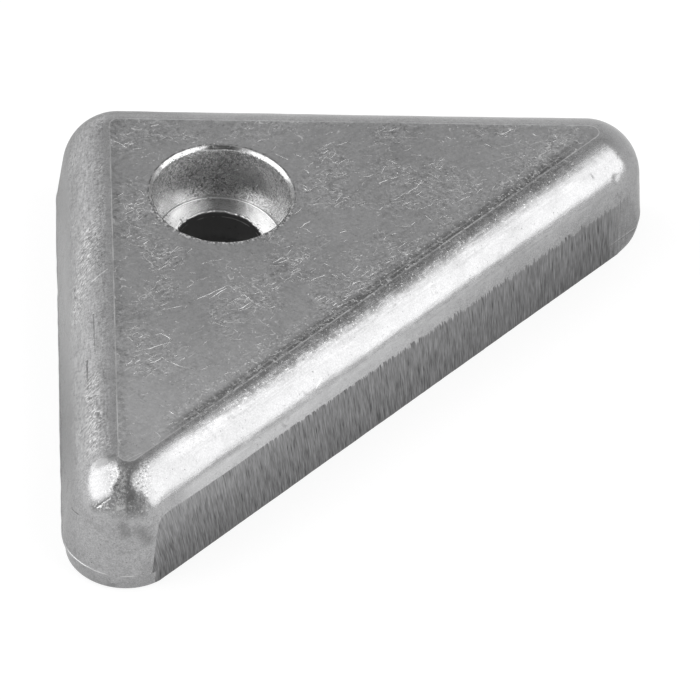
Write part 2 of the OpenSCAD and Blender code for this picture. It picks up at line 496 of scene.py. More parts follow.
def casting_mesh(shape, name):
    """One closed mesh: wall and rounding, flat top, pocket, underside and the longest scratches."""
    wall, below = wall_mesh(shape)
    pocket = pocket_rings(shape)
    (m, n), (k, c) = wall.shape[:2], pocket.shape[:2]
    points = [wall.reshape(-1, 3), pocket.reshape(-1, 3)]
    depths = [below.reshape(-1), np.full(k * c, IN_POCKET)]
    faces = grid_faces(0, m, n) + grid_faces(m * n, k, c)

    def cover(outer_at, inner_at, spacing, seed, height, flip):
        """Closes the block between two loops, above or, flipped, below."""
        everything = np.concatenate(points)
        outer = everything[outer_at:outer_at + n, :2]
        inner = everything[inner_at:inner_at + c, :2]
        flat, made = fill_between(outer, inner, spacing, seed)
        new = flat[n + c:]
        points.append(np.column_stack([new, height(new)]))
        depths.append(np.full(len(new), UNDERSIDE) if flip else -distance_to_loop(new, outer))
        place = np.concatenate([outer_at + np.arange(n), inner_at + np.arange(c),
                                len(everything) + np.arange(len(new))])
        faces.extend(place[made[:, ::-1] if flip else made].tolist())

    def under_height(xy):
        return 0.02 * lattice_noise(np.column_stack([xy, 0 * xy[:, 0]]), 7.0, 62) + 0.02

    cover((m - 1) * n, m * n, TOP_SPACING, 61, lambda xy: top_height(xy, shape), False)
    cover(0, m * n + (k - 1) * c, UNDER_SPACING, 63, under_height, True)
    for path in LONG_SCRATCHES:
        middle = np.mean(path, axis=0)[None]
        sliver, made = raised_line(path, 0.06, float(top_height(middle, shape)[0]) + 0.005)
        first = sum(map(len, points))
        points.append(sliver)
        depths.append(np.full(len(sliver), FRESH))
        faces.extend([[v + first for v in face] for face in made])
    mesh = bpy.data.meshes.new(name)
    mesh.from_pydata((np.concatenate(points) * MM).tolist(), [], faces)
    mesh.attributes.new(BELOW_CREASE, "FLOAT", "POINT").data.foreach_set("value", np.concatenate(depths))
    mesh.update()
    mesh.shade_smooth()
    return mesh


# Short ways to write node trees.

class Value:
    """A number or place worked out by nodes. Sums, differences and products of values add the
    nodes for them, and so do the ways of changing a value below."""

    def __init__(self, nodes, socket):
        self.nodes, self.socket = nodes, socket

    def __add__(self, other):
        return self.nodes.math("ADD", self, other)

    def __sub__(self, other):
        return self.nodes.math("SUBTRACT", self, other)

    def __rsub__(self, other):
        return self.nodes.math("SUBTRACT", other, self)

    def __mul__(self, other):
        return self.nodes.math("MULTIPLY", self, other)

    __radd__, __rmul__ = __add__, __mul__

    def __abs__(self):
        return self.nodes.math("ABSOLUTE", self)

    def step(self, low, high, to_low=0.0, to_high=1.0):
        """Runs smoothly from to_low, where the value is low, to to_high, where it is high."""
        inputs = dict(enumerate((self, low, high, to_low, to_high)))
        return self.nodes.value("ShaderNodeMapRange", 0, inputs, interpolation_type="SMOOTHSTEP")

    def between(self, from_low, low, high, to_high):
        """1 from low to high, fading to 0 at from_low and at to_high."""
        return self.step(from_low, low) * self.step(to_high, high)

    def line(self, centre, width):
        """1 where the value is centre, fading to 0 a width away on both sides."""
        return abs(self - centre).step(0.0, width, 1.0, 0.0)

    def swing(self, size, base=0.0):
        """A noise of 0 to 1 turned into a swing about a base."""
        return self.nodes.math("MULTIPLY_ADD", self - 0.5, size, base)

    def dimmed(self, mask, share):
        """The value, less a share of it where the mask is 1."""
        return self * (mask * -share + 1.0)

    def noise(self, scale, detail=2.0, rough=0.5, warp=0.0):
        """Noise of 0 to 1 at a place; the scale is in waves a millimetre."""
        inputs = {"Vector": self, "Scale": scale, "Detail": detail, "Roughness": rough, "Distortion": warp}
        return self.nodes.value("ShaderNodeTexNoise", 0, inputs, noise_dimensions="3D")

    def dot(self, direction):
        return self.nodes.vector("DOT_PRODUCT", self, direction)

    def scaled(self, factor):
        return self.nodes.vector("SCALE", self, scale=factor)

    def moved(self, way):
        return self.nodes.vector("ADD", self, way)

    def frayed(self, noise):
        """Places moved to and fro by a noise, so that a mark drawn on them has a ragged edge."""
        return self.moved(self.nodes.vector("SCALE", (FRAY, FRAY, FRAY), scale=noise))

    def combed(self, direction, ratio):
        """Places squeezed along a direction, so that noise on them runs in fibres that way."""
        along = self.dot(direction) * (1.0 - ratio)
        return self.nodes.vector("SUBTRACT", self, self.nodes.vector("SCALE", direction, scale=along))

    def stroke(self, start, end, width, strength=1.0):
        """A straight mark between two places, fading to 0 a width away."""
        run = Vector(end) - Vector(start)
        way = tuple(run.normalized())
        away = self.nodes.vector("SUBTRACT", self, start)
        along = self.nodes.math("MINIMUM", self.nodes.math("MAXIMUM", away.dot(way), 0.0), run.length)
        off = self.nodes.vector("SUBTRACT", away, self.nodes.vector("SCALE", way, scale=along))
        return self.nodes.vector("LENGTH", off).step(0.0, width, 1.0, 0.0) * strength

    def strokes(self, rows):
        """The strongest of some straight marks."""
        return self.nodes.most(*(self.stroke(*row) for row in rows))


class Nodes:
    """Short ways to add and join nodes in a tree."""

    def __init__(self, tree):
        self.tree = tree
        tree.nodes.clear()

    def add(self, kind, inputs=None, **settings):
        """A new node, with its settings, and values or links for the inputs named."""
        node = self.tree.nodes.new(kind)
        for key, value in settings.items():
            setattr(node, key, value)
        for key, value in (inputs or {}).items():
            if value is not None:
                self.put(node.inputs[key], value)
        return node

    def put(self, socket, value):
        """Links a socket to a node's value, or sets it to a constant."""
        if isinstance(value, Value):
            self.tree.links.new(value.socket, socket)
        else:
            socket.default_value = value

    def value(self, kind, output=0, inputs=None, **settings):
        """One output of a new node."""
        return Value(self, self.add(kind, inputs, **settings).outputs[output])

    def math(self, operation, *values):
        return self.value("ShaderNodeMath", 0, dict(enumerate(values)), operation=operation)

    def vector(self, operation, a, b=None, scale=None):
        output = "Value" if operation in ("DOT_PRODUCT", "LENGTH") else "Vector"
        return self.value("ShaderNodeVectorMath", output, {0: a, 1: b, "Scale": scale}, operation=operation)

    def most(self, *values):
        """The largest of some values."""
        total = values[0]
        for value in values[1:]:
            total = self.math("MAXIMUM", total, value)
        return total

    def join(self, x, y, z=0.0):
        return self.value("ShaderNodeCombineXYZ", 0, {0: x, 1: y, 2: z})

    def split(self, vector):
        return [Value(self, part) for part in self.add("ShaderNodeSeparateXYZ", {0: vector}).outputs]

    def mix(self, factor, a, b):
        return self.value("ShaderNodeMix", 2, {0: factor, 6: a, 7: b}, data_type="RGBA")


# The numbers in the looks are places in millimetres, shares from 0 to 1, or a noise's scale,
# detail and roughness.

def scratch_tree():
    """A tree that scatters thin curved slivers of bright metal over the flat top."""
    tree = bpy.data.node_groups.new("raised_scratches", "GeometryNodeTree")
    n = Nodes(tree)
    for name, kind in (("Casting", "Geometry"), ("Density", "Float"), ("Length", "Float"), ("Width", "Float"),
                       ("Sway", "Float"), ("Seed", "Int"), ("Material", "Material")):
        tree.interface.new_socket(name, in_out="INPUT", socket_type="NodeSocket" + kind)
    tree.interface.new_socket("Scratches", in_out="OUTPUT", socket_type="NodeSocketGeometry")
    given = {socket.name: Value(n, socket) for socket in n.add("NodeGroupInput").outputs}
    below = n.value("GeometryNodeInputNamedAttribute", "Attribute", {"Name": BELOW_CREASE}, data_type="FLOAT")
    place = n.value("GeometryNodeInputPosition").scaled(1.0 / MM)
    on_top = n.math("LESS_THAN", below, -1.2) * n.math("GREATER_THAN", below, IN_POCKET + 1.0)
    crowd = on_top * place.noise(0.17).step(0.44, 0.62, 0.12, 1.0)
    spots = n.value("GeometryNodeDistributePointsOnFaces", "Points", {
        "Mesh": given["Casting"], "Density": crowd * given["Density"], "Seed": given["Seed"]},
        distribute_method="RANDOM")

    def chance(low, high, seed):
        """A random number for each scratch."""
        node = n.add("FunctionNodeRandomValue", {"Seed": given["Seed"] + seed}, data_type="FLOAT")
        floats = [socket for socket in node.inputs if socket.type == "VALUE"]
        n.put(floats[0], low)
        n.put(floats[1], high)
        return Value(n, next(socket for socket in node.outputs if socket.type == "VALUE"))

    # one scratch, a millimetre of thin triangular tube that tapers to both ends
    line = n.value("GeometryNodeCurvePrimitiveLine", 0, {"Start": (-0.5, 0.0, 0.0), "End": (0.5, 0.0, 0.0)})
    line = n.value("GeometryNodeResampleCurve", 0, {"Curve": line, "Count": 7})
    along = n.value("GeometryNodeSplineParameter", "Factor")
    taper = n.math("SINE", along * math.pi) * 0.85 + 0.15
    line = n.value("GeometryNodeSetCurveRadius", 0, {"Curve": line, "Radius": taper})
    section = n.value("GeometryNodeCurvePrimitiveCircle", 0, {"Resolution": 3, "Radius": 1.0})
    tube = n.value("GeometryNodeCurveToMesh", 0, {"Curve": line, "Profile Curve": section, "Fill Caps": True})

    lay = chance(-0.55, 0.55, 1) + chance(-0.55, 0.55, 4) + 0.22
    turn = n.value("FunctionNodeEulerToRotation", 0, {0: n.join(0.0, 0.0, lay)})
    size = chance(0.22, 1.0, 2)
    width = given["Width"] * chance(0.45, 1.0, 3)
    many = n.value("GeometryNodeInstanceOnPoints", 0, {
        "Points": spots, "Instance": tube, "Rotation": turn,
        "Scale": n.join(size * size * given["Length"], width, width * 0.4)})
    many = n.value("GeometryNodeRealizeInstances", 0, {0: many})
    sway = n.join(place.noise(0.55).swing(1.0), place.moved((9.0, 5.0, 0.0)).noise(0.55).swing(1.0))
    many = n.value("GeometryNodeSetPosition", 0, {"Geometry": many, "Offset": sway.scaled(given["Sway"])})
    marked = n.add("GeometryNodeStoreNamedAttribute", {"Geometry": many, "Name": BELOW_CREASE},
                   data_type="FLOAT", domain="POINT")
    n.put(next(socket for socket in marked.inputs if socket.name == "Value"), FRESH)
    many = n.value("GeometryNodeSetMaterial", 0, {
        "Geometry": Value(n, marked.outputs[0]), "Material": given["Material"]})
    n.add("NodeGroupOutput", {0: many})
    return tree


def scratch_mesh(context, casting, finish, material):
    """The scattered scratches as one plain mesh."""
    tree = scratch_tree()
    holder = bpy.data.objects.new("scratch_holder", casting)
    context.scene.collection.objects.link(holder)
    modifier = holder.modifiers.new("Scratches", "NODES")
    modifier.node_group = tree
    values = {"Density": finish.scratch_density * 1e4, "Length": finish.scratch_length,
              "Width": finish.scratch_width, "Sway": finish.scratch_sway, "Seed": finish.seed,
              "Material": material}
    for item in tree.interface.items_tree:
        if item.name in values:
            modifier[item.identifier] = values[item.name]
    mesh = bpy.data.meshes.new_from_object(holder.evaluated_get(context.evaluated_depsgraph_get()))
    bpy.data.objects.remove(holder)
    return mesh


# Looks of the casting's surfaces.

def colour(values):
    return (*values, 1.0)


def tinted(n, values, factor):
    """A colour made lighter or darker by a factor."""
    return n.vector("SCALE", tuple(values), scale=factor)


# fibre directions of the scuffs: two ways on the flat top, one up the left rounding
TOP_FIBRES = (0.83, 0.56, 0.0)
CROSS_FIBRES = (0.82, -0.57, 0.0)
LEFT_FIBRES = (0.566, 0.6, 0.566)
FRAY = 0.3      # how far the noise moves the edges of the single marks, in millimetres

# single marks: the places where each starts and ends, its width (mm), and how strong it is if not 1
DARK_NOTCHES = (
    ((-15.1, -48.1, 10.9), (-13.7, -47.9, 12.1), 0.22), ((-16.3, -47.0, 10.9), (-15.6, -47.8, 10.9), 0.12),
    ((-17.7, -45.4, 8.0), (-17.0, -46.8, 8.5), 0.13), ((-15.1, -19.6, 13.6), (-15.0, -26.2, 13.7), 0.15),
    ((-15.9, -29.6, 13.0), (-15.9, -31.4, 13.0), 0.32), ((-15.9, -26.6, 12.9), (-15.9, -29.4, 12.9), 0.20),
    ((-15.9, -32.8, 13.0), (-15.5, -33.1, 13.2), 0.30), ((-14.7, -36.0, 13.8), (-14.5, -36.9, 13.8), 0.32),
    ((-0.6, 8.3, 14.5), (1.1, 8.25, 14.5), 0.30),
)
BRIGHT_NICKS = (
    ((-16.3, -32.2, 12.6), (-14.7, -33.0, 13.8), 0.12), ((10.6, -28.3, 12.2), (9.8, -29.7, 11.6), 0.12),
    ((-15.4, -48.3, 10.5), (-13.7, -48.4, 11.9), 0.12), ((-15.2, -14.2, 13.5), (-13.4, -13.0, 14.4), 0.13),
    ((-15.6, -12.2, 13.2), (-14.9, -11.6, 13.7), 0.12),
)
RUBBED_LEFT = (
    ((-15.1, -5.5, 13.6), (-17.2, -18.8, 10.9), 2.8), ((-15.4, -30.0, 13.3), (-15.4, -42.0, 13.3), 2.0),
)
STAINS = (((-12.2, -49.6, 9.5), (-11.8, -49.8, 8.4), 1.2), ((-10.2, -49.6, 8.9), (-9.2, -49.5, 7.2), 1.4))
# smoother patches of the pocket's wall, painted lighter as the lamps' highlights on it
POLISH_AND_HIGHLIGHT = (
    ((-6.2, 3.2, 8.9), (-4.9, 5.6, 8.7), 2.4), ((5.0, 5.5, 8.7), (6.4, 4.0, 8.9), 1.8, 0.45),
    ((2.8, 7.2, 11.3), (5.8, 5.2, 11.0), 2.6, 0.75),
)
PITTED = ((-14.5, -7.5, 13.9), (-14.3, -12.0, 14.0), 1.9)
FRINGE = ((-15.4, -48.0, 10.9), (-11.9, -48.8, 11.7), 1.1)
SEAT_NOTCH = ((-4.35, 3.5, 7.3), (-3.95, 2.75, 7.3), 0.22)

# thin curved scratches: squeezed along the top's fibres or not, noise scale, line width, warp, and the
# scale and threshold of the patches they lie in, and the scale of the gaps in them
CURVED_SCRATCHES = (
    (None, 0.55, 0.017, 0.8, 0.10, 0.52, 0.9),
    (None, 0.85, 0.024, 0.3, 0.16, 0.54, 1.2),
    (0.22, 1.3, 0.030, 0.15, 0.25, 0.53, 1.3),
)


class Places:
    """Where a point of the casting lies, the areas it is in, and the noises that the looks share.
    All of it is in millimetres, in the part's frame."""

    def __init__(self, n, shape):
        self.n, self.shape = n, shape
        self.p = n.value("ShaderNodeTexCoord", "Object").scaled(1.0 / MM)
        self.x, self.y, self.z = n.split(self.p)
        self.out = self.p.dot((*shape.out, 0.0)) - float(shape.near_c @ shape.out)
        self.along = self.p.dot((*shape.along, 0.0)) - float(shape.near_c @ shape.along)
        self.r = n.math("SQRT", self.x * self.x + self.y * self.y)
        self.below = n.value("ShaderNodeAttribute", "Fac", attribute_name=BELOW_CREASE)
        self.make_noises()
        self.find_areas()
        self.find_wear()
        self.find_crease_lines()
        self.find_near_corner()

    def make_noises(self):
        """Mottling, grain and fibres of the skin."""
        n, p = self.n, self.p
        self.patches = p.noise(0.22, 4.0, 0.6, 0.6)
        self.grain = p.noise(1.4, 4.0, 0.7)
        self.pepper = p.noise(5.2, 2.0, 0.7)
        self.mottle = p.noise(2.5, 3.0, 0.7)
        self.blotch = p.noise(1.1, 5.0, 0.8, 0.4)
        self.speckle = p.noise(2.8, 4.0, 0.8)
        hatch = p.combed(TOP_FIBRES, 0.16).noise(2.8, 3.0, 0.65)
        cross = p.combed(CROSS_FIBRES, 0.16).noise(2.4, 3.0, 0.65)
        self.hatch = n.mix(p.noise(0.13).step(0.44, 0.58), hatch, cross)
        self.fibres = p.combed((*self.shape.along, 0.0), 0.10).noise(2.4, 4.0, 0.7)
        self.scuffs = p.combed(LEFT_FIBRES, 0.26).noise(6.4, 4.0, 0.75)
        self.upright = p.combed((0.0, 1.0, 0.0), 0.12).noise(3.6, 3.0, 0.7)

    def find_areas(self):
        """Flat top, rounding, walls, long side, left rounding, near corner, pocket and hole."""
        shape, y, z, r, below = self.shape, self.y, self.z, self.r, self.below
        mouth, seat_z = shape.mouth, shape.seat_z
        self.on_top = below.step(0.10, -0.05) * r.step(mouth + 0.2, mouth + 0.4)
        self.on_round = below.step(0.0, 0.4)
        self.on_wall = below.step(7.0, 9.5)
        self.near_long = self.out.step(shape.crease_u - 3.0, shape.crease_u - 2.5)
        self.strip = self.near_long * self.along.between(3.0, 10.0, shape.long - 8.0, shape.long + 1.0)
        self.left = self.x.step(-12.6, -13.8) * below.between(0.3, 1.2, 5.5, 7.5) * y.step(-44.5, -40.0)
        self.forward = y.step(float(shape.near_c[1]) - 0.2, float(shape.near_c[1]) - 1.2)
        self.in_pocket = r.step(mouth + shape.lip + 0.03, mouth + shape.lip - 0.03) * z.step(3.0, 4.0)
        self.pocket_wall = (self.in_pocket * z.step(seat_z + 0.2, seat_z + 0.5)
                            * r.step(mouth + 0.06, mouth + 0.02))
        self.on_lip = r.step(mouth - 0.02, mouth + 0.02)
        self.in_hole = r.step(shape.hole + 0.20, shape.hole + 0.05) * z.step(seat_z - 0.08, seat_z - 0.3)
        self.polish_and_highlight = self.p.strokes(POLISH_AND_HIGHLIGHT) * self.pocket_wall

    def find_wear(self):
        """Rubbed stretches of the left rounding, scratches, notches, nicks and the pocket's front rim."""
        n, p, y = self.n, self.p, self.y
        ends = n.most(y.step(-14.0, -8.0), y.step(-33.0, -38.0))
        self.rubbed = n.most(p.noise(0.16).step(0.46, 0.60) * ends * 0.7, p.strokes(RUBBED_LEFT))
        curved = (curved_scratches(p.combed(TOP_FIBRES, row[0]) if row[0] else p, *row[1:])
                  for row in CURVED_SCRATCHES)
        self.scratch = n.most(*curved) * self.on_top
        self.notch = p.frayed(self.grain.swing(1.0)).strokes(DARK_NOTCHES)
        nick = p.frayed(self.speckle.swing(1.8)).strokes(BRIGHT_NICKS)
        self.nick = nick * self.speckle.step(0.36, 0.50, 0.3, 1.0)
        self.rim = self.r.step(9.2, 8.6) * y.step(1.0, -4.0) * self.on_top

    def find_crease_lines(self):
        """Two dark lines and a light one that run along the long crease and wander a little."""
        n, s, below = self.n, self.along, self.below
        wander = n.join(s, 0.0).noise(0.12, 3.0).swing(0.9)
        here_and_there = n.join(s, 3.0).noise(0.16).step(0.40, 0.54)
        dashes = n.join(s, below, 5.0).noise(1.1).step(0.42, 0.52, 0.05, 1.0)
        broken = n.join(s, 11.0).noise(0.30, 3.0, 0.65).step(0.38, 0.52, 0.25, 1.0)
        first = (wander * 0.14 + below).line(-0.26, 0.15) * broken
        second = (wander * 0.42 + below).line(-0.88, 0.13) * here_and_there * 0.75
        self.lines = self.strip * n.most(first, second) * dashes
        self.thin_light = self.strip * (wander * 0.22 + below).line(-0.54, 0.12) * here_and_there

    def find_near_corner(self):
        """The painted shade between the near corner's two highlights, its waist, and the fringe under them.
        """
        below, speckle = self.below, self.speckle
        aside = abs(self.x - (float(self.shape.near_c[0]) + 0.1) + speckle.swing(2.6))
        from_waist = below - 3.0
        half_gap = from_waist * from_waist * 0.13 + 0.55
        # painted shade: a speckled dark patch between the near corner's two highlights
        self.gap = (self.forward * (aside - half_gap).step(0.4, -0.4) * below.between(-0.3, 0.2, 5.6, 7.4)
                    * speckle.step(0.40, 0.56))
        self.waist = self.forward * aside.step(3.0, 1.6) * below.between(0.3, 1.0, 6.2, 7.6)
        self.fleck = self.p.noise(4.2, 3.0, 0.7)
        self.fringe = self.p.stroke(*FRINGE)
        self.corner_mottle = self.forward * self.on_round * below.step(8.0, 6.0) * aside.step(3.2, 2.0)


def curved_scratches(place, scale, width, warp, patch_scale, patch, gaps):
    """Thin curved lines in loose patches, from where a noise crosses its middle."""
    line = place.noise(scale, 1.0, 0.4, warp).line(0.5, width)
    return line * place.noise(patch_scale).step(patch, patch + 0.06) * place.noise(gaps, 1.0).step(0.50, 0.56)


def ground_side(at):
    """The side ground bare: its mask, its light and dark streaks with painted shade towards its foot, and
    their height.
    """
    n, shape, s, z = at.n, at.shape, at.along, at.z
    lean, per_length = math.tan(shape.lean), (shape.ground_far - shape.ground_near) / shape.long
    twist = s.step(0.0, NEAR_TWIST_RUN, math.tan(shape.lean + NEAR_TWIST) - lean, 0.0)
    rise = n.math("MINIMUM", TWIST_HEIGHT - z, z * ((TWIST_HEIGHT - shape.parting) / shape.parting))
    back = s * per_length + shape.ground_near + (z - shape.parting) * lean - twist * rise
    over = at.out - (shape.corner - back)
    run = z * (s * (-0.125 / shape.long) + 0.2126) + s
    coarse = n.join(run, z * 0.06).noise(2.3, 2.0, 0.6)
    fine = n.join(run, z * 0.06, 3.0).noise(6.0, 2.0, 0.7)
    gouges = n.join(run, z * 0.08, 7.0).noise(4.6, 1.0).step(0.58, 0.68) * z.step(1.0, 7.0, 0.4, 1.0)

    # the face ends where it runs out into the drafted wall, along a ragged brim
    slope = math.tan(shape.draft) - lean
    brim = s * (per_length / slope) + (shape.parting + shape.ground_near / slope)
    ragged = s.step(4.0, 60.0, 1.0, 2.6) * (coarse.swing(1.0) + fine.swing(0.8))
    end = (s + coarse.swing(9.0)).step(shape.long + 1.5, shape.long - 4.0)
    mask = over.step(-0.085, -0.070) * (z + ragged - brim).step(0.30, 0.10) * (end * 0.85 + 0.15)

    # painted shade: the ground face darkens towards its foot, where it mirrors the floor close by; high up at
    # its near end it is lighter
    tone = z.step(0.0, 9.0) * 0.26 + 0.84 + s.step(26.0, 4.0) * z.step(4.0, 9.0) * 0.22
    tone = tone + (fine.swing(2.2) + coarse.swing(0.7))
    tone = n.math("MAXIMUM", gouges * -0.42 + tone, 0.2)
    return mask, tone, fine * 0.012 + coarse * 0.010


def skin_tone(at):
    """How light the cast skin is, about 1."""
    n, below, s, near_long = at.n, at.below, at.along, at.near_long
    calm = below.between(0.6, 2.2, 6.5, 7.5) * at.out.step(at.shape.crease_u - 3.5, at.shape.crease_u - 1.5)
    busy = n.most(at.p.noise(0.17).step(0.42, 0.60, 0.45, 1.10), below.step(-0.4, 0.2))
    small = (at.grain.swing(0.46) + at.pepper.swing(0.90)).dimmed(calm, 0.45)
    scuffed = (at.hatch.swing(0.70) + at.mottle.swing(1.25)) * below.step(0.5, -0.2, 0.10, 1.0)
    worn = at.scuffs.swing(2.6) * at.rubbed + (at.mottle.swing(1.1) + at.upright.swing(0.9))
    tone = at.p.noise(0.06, 3.0, 0.55).swing(0.30, 1.0) + at.patches.swing(0.42)
    tone = tone + small * busy + scuffed * busy + at.left * worn
    tone = tone + n.most(at.corner_mottle, at.strip * below.step(3.0, 2.0)) * at.speckle.swing(1.5)
    tone = tone + at.on_top * at.y.step(-18.0, -37.0) * 0.32

    # the long edge: paler towards its near end, and streaked above and below its highlight
    paler = n.most(below.between(0.3, 0.8, 2.0, 3.0) * s.step(32.0, 8.0) * 0.22,
                   below.step(5.6, 6.4) * s.step(56.0, 8.0) * 0.34)
    tone = tone + near_long * s.step(1.0, 5.0) * paler
    streaked = at.strip * n.most(below.between(1.4, 2.2, 3.0, 3.8), below.between(5.0, 5.6, 6.4, 7.2))
    # the last term is painted shade, darker at the far corner near its outline
    return tone + at.fibres.swing(0.8) * streaked + at.x.step(48.4, 50.2) * -0.26


def grime_and_painted_shade(at):
    """Where grime and oxide lie on the cast skin, and where shade is painted with the same dark colour."""
    n, p, x, y, z, below = at.n, at.p, at.x, at.y, at.z, at.below
    strip, grain, blotch, speckle, shape = at.strip, at.grain, at.blotch, at.speckle, at.shape
    smudge = at.patches.step(0.56, 0.70) * grain.step(0.42, 0.62)
    speck = p.noise(3.4, 2.0, 0.6).step(0.66, 0.74)

    # along the long crease: a band of grime on the top side of it, and a broader mottled one on the rounding
    # that is partly grime and partly painted shade, darkening the reflection between the crease and the
    # highlight
    dirty = (blotch * 0.5 + speckle * 0.5).step(0.44, 0.52)
    inner = strip * below.between(-1.7, -0.6, -0.1, 0.1) * dirty
    drawn_out = n.join(at.along * 0.22, below, 2.0).noise(2.2, 3.0, 0.7).step(0.36, 0.54, 0.25, 1.0)
    outer = (strip * below.between(0.08, 0.2, 1.0, 2.8) * dirty * at.along.step(2.0, 26.0, 0.40, 1.0)
             * drawn_out)

    # the left rounding, the near corner, the pocket's mouth, the walls and the parting line; at the near
    # corner and under the parting line's bead this is painted shade
    left = x.step(-10.5, -11.6) * below.between(-1.7, -0.4, -0.1, 0.1) * blotch.step(0.40, 0.66)
    cracks = at.left * at.upright.line(0.5, 0.014) * blotch.step(0.44, 0.56)
    pits = p.stroke(*PITTED) * p.noise(3.4, 3.0, 0.7).step(0.50, 0.60)
    # painted shade dims the top of the near corner's left highlight
    shaded = (x.step(-12.6, -13.3) * y.between(-44.9, -44.3, -43.6, -43.2) * at.on_round
              * below.step(3.4, 2.2))
    # dark flecks speckle the waist of the near corner's painted shade
    waist = at.waist * at.fleck.step(0.46, 0.36)
    mouth = ((at.r + grain.swing(0.3)).line(shape.mouth + shape.lip + 0.12, 0.20)
             * p.noise(1.3).step(0.40, 0.54) * z.step(14.2, 14.4))
    rim = at.rim * p.noise(2.4, 3.0, 0.7).step(0.52, 0.60)
    clouds = at.on_wall * p.noise(0.42, 3.0, 0.6).step(0.55, 0.68)
    stains = p.moved(n.join(blotch.swing(1.6), at.patches.swing(1.6), grain.swing(1.2))).strokes(STAINS)
    # painted shade: a dark line under the parting line's bead
    shade_under_bead = at.on_round * z.line(shape.parting - 0.10, 0.16)
    grime_and_shade = n.most(smudge * 0.42, inner * 0.80, outer * 0.72, at.lines, speck * 0.55, at.gap * 0.66,
                  at.fringe * speckle.step(0.40, 0.54) * 0.75, shaded * 0.42, waist * 0.6, left * 0.50,
                  cracks * 0.6, pits * 0.7, mouth * 0.8, rim * 0.7, clouds * 0.22, stains * 0.42,
                  shade_under_bead * 0.4, at.notch * 0.8)
    return grime_and_shade * (1.0 - at.in_pocket)


def skin_shine(at):
    """Where the metal is bright: scratches, scuffs and nicks, and painted highlights: glints, flecks at the
    near corner, a line along the crease, a line on the parting line's bead and a soft edge to the near
    corner's highlight.
    """
    n, p, below, strip = at.n, at.p, at.below, at.strip
    patchy = p.noise(0.30, 3.0, 0.65).step(0.36, 0.60) * 0.7 + 0.3
    worn_off = strip * n.join(at.along, 7.0).noise(0.6, 3.0, 0.7).step(0.54, 0.42)
    # the crease: a thin bright line, partly a worn edge and partly a painted highlight, itself worn off in
    # places
    crease = ((below + at.grain.swing(0.10)).line(0.02, 0.11) * patchy).dimmed(worn_off, 0.8)
    # painted highlight: a bright line along the parting line's bead
    bead = at.on_round * at.z.line(at.shape.parting + 0.09, 0.13) * p.noise(0.5, 3.0).step(0.36, 0.60)
    scuff = at.left * at.scuffs.step(0.52, 0.62) * at.rubbed
    # painted highlight: a speckled soft edge right of the near corner's left highlight
    painted_highlight_skirt = (at.forward * at.x.between(-13.3, -12.8, -12.1, -11.7) * below.between(0.6, 1.4, 5.4, 6.6)
             * at.speckle.step(0.42, 0.56))
    # painted glints: light flecks in the waist of the near corner's painted shade
    waist = at.waist * at.fleck.step(0.57, 0.66)
    # painted glints: bright specks on the top, by the long crease, on the walls, round the pocket's front
    # rim, on the fringe and in the near corner's painted shade
    where = n.most(at.on_top * p.noise(0.2).step(0.46, 0.60), strip * below.step(2.6, 1.6),
                   at.on_wall * 0.25, at.rim, at.fringe, at.gap * 0.8)
    crowded = n.most(at.rim * 1.6, at.fringe, strip * below.step(2.2, 1.2) * 0.3)
    glints = (crowded * 0.09 + p.noise(3.6, 1.0)).step(0.67, 0.73) * where
    shine = n.most(at.scratch * 0.66, crease * 0.62, bead * 0.6, glints * 0.7, at.thin_light * 0.26,
                   scuff * 0.95, at.nick * 0.9, painted_highlight_skirt * 0.62, waist * 0.55)
    return shine * (1.0 - at.in_pocket)


def pocket_tone(at):
    """How light the pocket's cut metal is: rough wall, smoother patches painted lighter as highlights, a seat
    darker on its left, painted shade on the far lip and the foot of the wall under it, and painted glints on
    the near lip.
    """
    p, x, y, z, shape, polish_and_highlight = at.p, at.x, at.y, at.z, at.shape, at.polish_and_highlight
    rough_wall = (at.mottle.swing(2.2) + at.pepper.swing(2.6)) * at.pocket_wall
    # the smoother patches are calmer and painted lighter as highlights
    tone = at.grain.swing(0.3, 1.0) + rough_wall.dimmed(polish_and_highlight, 0.6) + polish_and_highlight * 0.56
    tone = tone.dimmed(p.stroke(*SEAT_NOTCH), 0.8)
    tone = tone.dimmed(at.on_lip * p.noise(1.8, 3.0, 0.7).step(0.56, 0.42), 0.25)
    seat_left = z.step(shape.seat_z + 0.25, shape.seat_z + 0.1) * x.step(1.0, -3.0, 0.05, 0.26)
    tone = tone * (1.0 - seat_left)

    # the far part of the lip lies in shade, and so does the foot of the wall under it
    behind = at.n.most(abs(x - 0.3).step(2.6, 1.0) * y.step(2.0, 4.0), y.step(4.4, 1.6) * 0.75)
    lip_dark = behind * at.on_lip * z.step(10.0, 12.0)
    # painted glints lighten the near part of the lip
    beads = at.on_lip * y.step(1.0, -3.0) * p.noise(2.6).step(0.54, 0.62)
    # painted shade at the foot of the wall under the far lip
    shaded_foot = abs(x - 0.2).step(3.6, 1.0) * y.step(2.0, 4.0) * z.step(shape.seat_z + 2.6, shape.seat_z + 0.8)
    tone = tone.dimmed(shaded_foot, 0.28).dimmed(lip_dark - beads, 0.72)
    return tone * p.noise(2.6, 1.0).step(0.26, 0.30, 0.5, 1.0)


def skin_roughness(at, finish, grime_and_shade, ground):
    """How rough the metal is: smoothest in the pocket, roughest in the hole, on grime and painted shade and
    where ground.
    """
    usual = finish.skin_roughness
    rough = at.below.step(-0.2, 0.5, usual + 0.06, usual - 0.05) + at.grain.swing(0.16)
    rough = rough + at.near_long * at.on_round * -0.015 + grime_and_shade * 0.20
    return at.n.most(rough + at.in_pocket * -0.10 + at.in_hole * 0.40, ground * 0.46)


